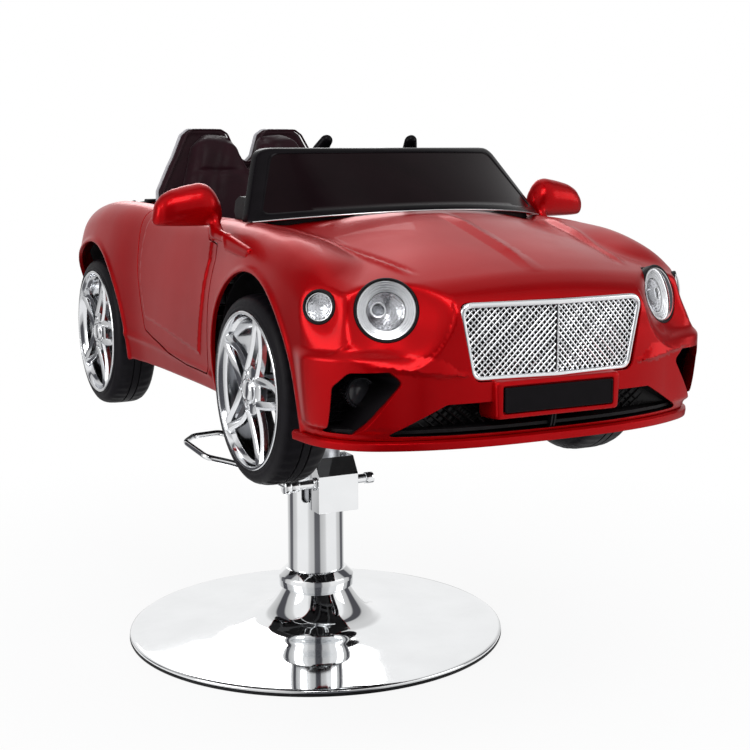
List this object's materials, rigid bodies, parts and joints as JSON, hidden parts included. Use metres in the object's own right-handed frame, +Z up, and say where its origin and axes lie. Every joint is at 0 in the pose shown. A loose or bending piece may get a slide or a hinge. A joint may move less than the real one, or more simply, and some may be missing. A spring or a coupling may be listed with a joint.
{
  "type": "kids car barber chair",
  "caption": "Child's salon chair: an open toy car body with seat, yoke and doors that turns and lifts on a round-based hydraulic column.",
  "frame": {"origin": "centre of the floor plate's underside, on the floor under the column's axis", "axes": "+Z up, the car's nose points to -Y, +X is the rider's left"},
  "size_m": [0.676, 1.1558, 0.806],
  "materials": {
    "floor_steel": "satin",
    "bright_chrome": "polished",
    "edge_rubber": "matte",
    "machined_steel": "machined",
    "frame_steel": "satin",
    "red_body": "clear coated",
    "black_trim": "fine grain",
    "black_gloss": "gloss",
    "screen_tint": "dark tint",
    "grey_shell": "satin",
    "seat_leather": "soft sheen",
    "chromed_plastic": "bright plated",
    "clear_lens": "clear",
    "red_lens": "translucent",
    "mirror_glass": "polished",
    "tyre_rubber": "matte"
  },
  "bodies": {
    "pedestal": {"base_plate": "floor_steel", "base_cover": "bright_chrome", "rubber_edge": "edge_rubber", "collar_ring": "bright_chrome", "column_tube": "bright_chrome", "piston_rod": "machined_steel"},
    "lift": {"pump_cylinder": "machined_steel", "pump_head": "machined_steel", "pump_cover": "bright_chrome"},
    "lever": {"lever_shaft": "bright_chrome", "foot_lever": "bright_chrome"},
    "car": {"swivel_socket": "frame_steel", "thrust_bearing": "machined_steel", "mount_bolts": "machined_steel", "chassis_frame": "frame_steel", "floor_pan": "black_trim", "body_shell": "red_body", "arch_liners": "black_trim", "cockpit_tub": "black_trim", "dashboard": "black_trim", "windscreen_frame": "black_gloss", "windscreen_pane": "screen_tint", "seat_shell": "grey_shell", "seat_cushion": "seat_leather", "seat_back_pad": "seat_leather", "grille_frame": "chromed_plastic", "grille_mesh": "chromed_plastic", "grille_backing": "black_trim", "lamp_housings": "black_trim", "lamp_bezels": "chromed_plastic", "lamp_lenses": "clear_lens", "bumper_meshes": "black_trim", "fog_lamps": "black_gloss", "front_bumper": "red_body", "number_plate": "black_gloss", "tail_lamps": "red_lens", "mirror_housings": "red_body", "mirror_glasses": "mirror_glass", "rear_axle": "machined_steel", "door_hinges": "machined_steel"},
    "door_left": {"door_skin_left": "red_body", "door_trim_left": "black_trim"},
    "door_right": {"door_skin_right": "red_body", "door_trim_right": "black_trim"},
    "steering": {"steering_yoke": "black_gloss", "steering_shaft": "machined_steel"},
    "horn": {"horn_button": "grey_shell"},
    "pedal": {"accelerator_pedal": "black_trim"},
    "knuckle_left": {"knuckle_left": "machined_steel"},
    "knuckle_right": {"knuckle_right": "machined_steel"},
    "tie_rod": {"tie_rod": "machined_steel"},
    "wheel_front_left": {"tyre_front_left": "tyre_rubber", "rim_front_left": "chromed_plastic"},
    "wheel_front_right": {"tyre_front_right": "tyre_rubber", "rim_front_right": "chromed_plastic"},
    "wheel_rear_left": {"tyre_rear_left": "tyre_rubber", "rim_rear_left": "chromed_plastic"},
    "wheel_rear_right": {"tyre_rear_right": "tyre_rubber", "rim_rear_right": "chromed_plastic"}
  },
  "joints": [
    {"name": "seat_lift", "type": "slide", "parent": "pedestal", "child": "lift", "axis": [0, 0, 1], "range_m": [0, 0.12]},
    {"name": "pump_lever", "type": "hinge", "parent": "lift", "child": "lever", "pos_m": [0, -0.058, 0.255], "axis": [1, 0, 0], "range_deg": [-22, 0], "stiffness_Nm_per_rad": 2.5, "springref_deg": 20.05},
    {"name": "seat_swivel", "type": "hinge", "parent": "lift", "child": "car", "pos_m": [0, 0, 0.38], "axis": [0, 0, 1], "continuous": true},
    {"name": "door_left_swing", "type": "hinge", "parent": "car", "child": "door_left", "pos_m": [0.25159, -0.25743, 0.5885], "axis": [0, 0, 1], "range_deg": [-55, 0]},
    {"name": "door_right_swing", "type": "hinge", "parent": "car", "child": "door_right", "pos_m": [-0.25159, -0.25743, 0.5885], "axis": [0, 0, 1], "range_deg": [0, 55]},
    {"name": "steering_turn", "type": "hinge", "parent": "car", "child": "steering", "pos_m": [0, -0.13725, 0.73595], "axis": [0, 0.7439, 0.6683], "range_deg": [-40, 40]},
    {"name": "horn_press", "type": "slide", "parent": "steering", "child": "horn", "axis": [0, -0.7439, -0.6683], "range_m": [0, 0.003], "stiffness_N_per_m": 400, "springref_m": -0.002},
    {"name": "pedal_press", "type": "hinge", "parent": "car", "child": "pedal", "pos_m": [0.07, -0.21325, 0.473], "axis": [1, 0, 0], "range_deg": [0, 15], "stiffness_Nm_per_rad": 0.6, "springref_deg": -20.05},
    {"name": "knuckle_left_turn", "type": "hinge", "parent": "car", "child": "knuckle_left", "pos_m": [0.172, -0.376, 0.47], "axis": [0, 0, 1], "range_deg": [-14.2, 14.2]},
    {"name": "knuckle_right_turn", "type": "hinge", "parent": "car", "child": "knuckle_right", "pos_m": [-0.172, -0.376, 0.47], "axis": [0, 0, 1], "range_deg": [-14.2, 14.2]},
    {"name": "tie_rod_slide", "type": "slide", "parent": "car", "child": "tie_rod", "axis": [1, 0, 0], "range_m": [-0.0076, 0.0076]},
    {"name": "wheel_front_left_spin", "type": "hinge", "parent": "knuckle_left", "child": "wheel_front_left", "pos_m": [0.234, -0.376, 0.47], "axis": [1, 0, 0], "continuous": true},
    {"name": "wheel_front_right_spin", "type": "hinge", "parent": "knuckle_right", "child": "wheel_front_right", "pos_m": [-0.234, -0.376, 0.47], "axis": [1, 0, 0], "continuous": true},
    {"name": "wheel_rear_left_spin", "type": "hinge", "parent": "car", "child": "wheel_rear_left", "pos_m": [0.234, 0.286, 0.47], "axis": [1, 0, 0], "continuous": true},
    {"name": "wheel_rear_right_spin", "type": "hinge", "parent": "car", "child": "wheel_rear_right", "pos_m": [-0.234, 0.286, 0.47], "axis": [1, 0, 0], "continuous": true}
  ],
  "couplings": [
    {"joint": "knuckle_left_turn", "follows": "steering_turn", "ratio": 0.35},
    {"joint": "knuckle_right_turn", "follows": "steering_turn", "ratio": 0.35},
    {"joint": "tie_rod_slide", "follows": "steering_turn", "m_per_rad": -0.0105}
  ]
}
